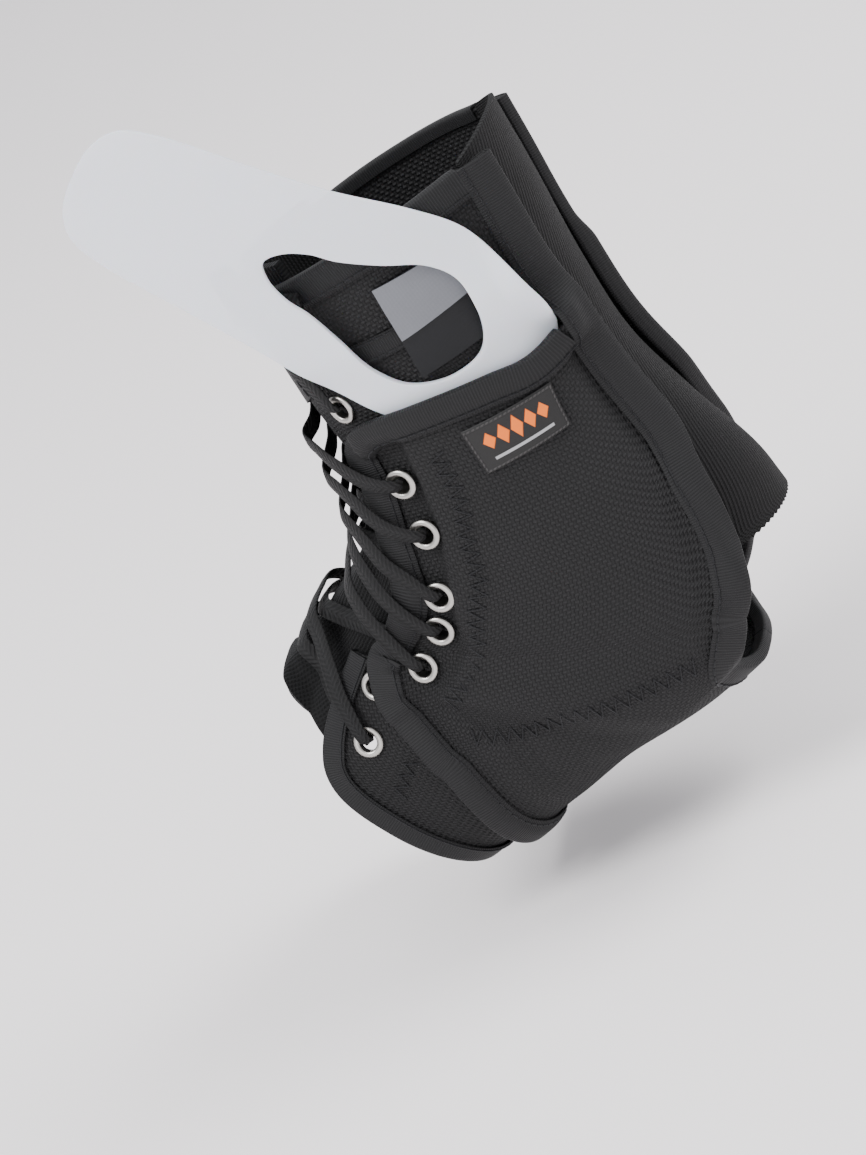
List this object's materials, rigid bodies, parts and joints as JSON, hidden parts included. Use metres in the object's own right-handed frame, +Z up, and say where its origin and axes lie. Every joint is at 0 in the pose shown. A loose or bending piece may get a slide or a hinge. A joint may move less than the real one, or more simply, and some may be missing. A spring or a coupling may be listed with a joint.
{
  "type": "ankle brace",
  "caption": "Laced soft ankle brace with a wrap under the instep, an open elastic heel and slide-in side stays.",
  "frame": {"origin": "middle of the wearer's ankle, inside the brace", "axes": "+Z up along the leg, -X towards the toes, -Y towards the inner side of a right ankle"},
  "size_m": [0.1669, 0.0915, 0.2673],
  "materials": {
    "panel_cloth": "woven nylon, matt",
    "tape": "ribbed binding tape, matt",
    "elastic": "ribbed elastic knit, matt",
    "tongue_knit": "brushed knit over foam",
    "lace": "flat braid, matt",
    "stay_plastic": "translucent, milky",
    "eyelet_metal": "nickel grey, satin",
    "badge_rubber": "moulded, matt, with orange lozenges",
    "care_label": "satin tape",
    "size_label": "satin tape"
  },
  "bodies": {
    "root": {"side_panel_inner": "panel_cloth", "side_panel_outer": "panel_cloth", "pocket_inner": "panel_cloth", "pocket_outer": "panel_cloth", "instep_wrap": "panel_cloth", "heel_elastic": "elastic", "tongue": "tongue_knit", "cuff_binding_inner": "tape", "cuff_binding_outer": "tape", "rear_binding_inner": "tape", "rear_binding_outer": "tape", "pocket_binding_inner": "tape", "pocket_binding_outer": "tape", "wrap_binding": "tape", "side_strap_inner": "tape", "side_strap_outer": "tape", "care_label": "care_label", "size_label": "size_label", "badge": "badge_rubber", "stay_inner": "stay_plastic", "stay_outer": "stay_plastic", "eyelet_inner_1": "eyelet_metal", "eyelet_outer_1": "eyelet_metal", "eyelet_inner_2": "eyelet_metal", "eyelet_outer_2": "eyelet_metal", "eyelet_inner_3": "eyelet_metal", "eyelet_outer_3": "eyelet_metal", "eyelet_inner_4": "eyelet_metal", "eyelet_outer_4": "eyelet_metal", "eyelet_inner_5": "eyelet_metal", "eyelet_outer_5": "eyelet_metal", "eyelet_inner_6": "eyelet_metal", "eyelet_outer_6": "eyelet_metal", "eyelet_inner_7": "eyelet_metal", "eyelet_outer_7": "eyelet_metal", "eyelet_inner_8": "eyelet_metal", "eyelet_outer_8": "eyelet_metal", "lace_8_inner": "lace", "lace_8_outer": "lace", "lace_6_inner": "lace", "lace_6_outer": "lace", "lace_5_inner": "lace", "lace_5_outer": "lace", "lace_4_inner": "lace", "lace_4_outer": "lace", "lace_3_inner": "lace", "lace_3_outer": "lace", "lace_2_inner": "lace", "lace_2_outer": "lace", "lace_bar": "lace", "lace_1_inner": "lace", "lace_1_outer": "lace", "lace_knot": "lace", "lace_loop_outer": "lace", "lace_loop_inner": "lace", "lace_tail_outer": "lace", "lace_tail_inner": "lace"}
  },
  "joints": []
}
